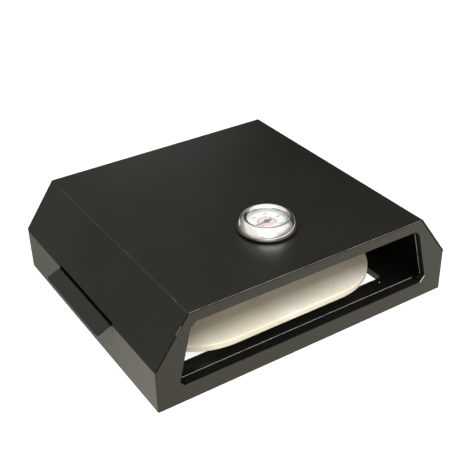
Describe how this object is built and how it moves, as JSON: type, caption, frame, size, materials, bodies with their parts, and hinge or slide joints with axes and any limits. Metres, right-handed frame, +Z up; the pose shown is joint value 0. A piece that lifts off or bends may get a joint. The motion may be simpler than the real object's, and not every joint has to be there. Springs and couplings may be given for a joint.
{
  "type": "pizza oven",
  "caption": "Low sheet-steel oven that stands on a barbecue grate: sloping hood, wide front mouth, loose baking stone, side handle lips and a dial thermometer on top.",
  "frame": {"origin": "on the grate that the oven stands on, in the middle of its footprint", "axes": "+X to the right as seen from the mouth, +Y from the mouth to the back, +Z up"},
  "size_m": [0.437, 0.338, 0.1289],
  "materials": {
    "enamel": "satin black heat-proof enamel on 1 mm sheet steel",
    "stone": "unglazed cream cordierite ceramic, matte and slightly grainy",
    "gauge_steel": "plain drawn stainless steel",
    "bezel_chrome": "polished, bright",
    "lens_glass": "clear flat glass",
    "dial_white": "white paint with printed scale",
    "pointer_black": "matte black paint",
    "gauge_brass": "turned"
  },
  "bodies": {
    "oven": {"hood": "enamel", "front_panel": "enamel", "back_panel": "enamel", "left_side": "enamel", "right_side": "enamel", "floor_plate": "enamel", "gauge_case": "gauge_steel", "gauge_bezel": "bezel_chrome", "gauge_lens": "lens_glass", "lens_ring": "gauge_steel", "gauge_dial": "dial_white", "gauge_stem": "gauge_steel", "gauge_bush": "gauge_brass", "coil_anchor": "gauge_brass", "gauge_coil": "gauge_steel", "gauge_washer": "gauge_steel", "gauge_nut": "gauge_steel"},
    "stone": {"baking_stone": "stone"},
    "needle": {"gauge_pointer": "pointer_black", "pointer_hub": "pointer_black", "gauge_spindle": "gauge_steel"}
  },
  "joints": [
    {"name": "stone_lift", "type": "slide", "parent": "oven", "child": "stone", "axis": [0, 0, 1], "range_m": [0, 0.04]},
    {"name": "needle", "type": "hinge", "parent": "oven", "child": "needle", "pos_m": [0, -0.08, 0.122], "axis": [0, 0, -1], "range_deg": [-39, 231]}
  ]
}
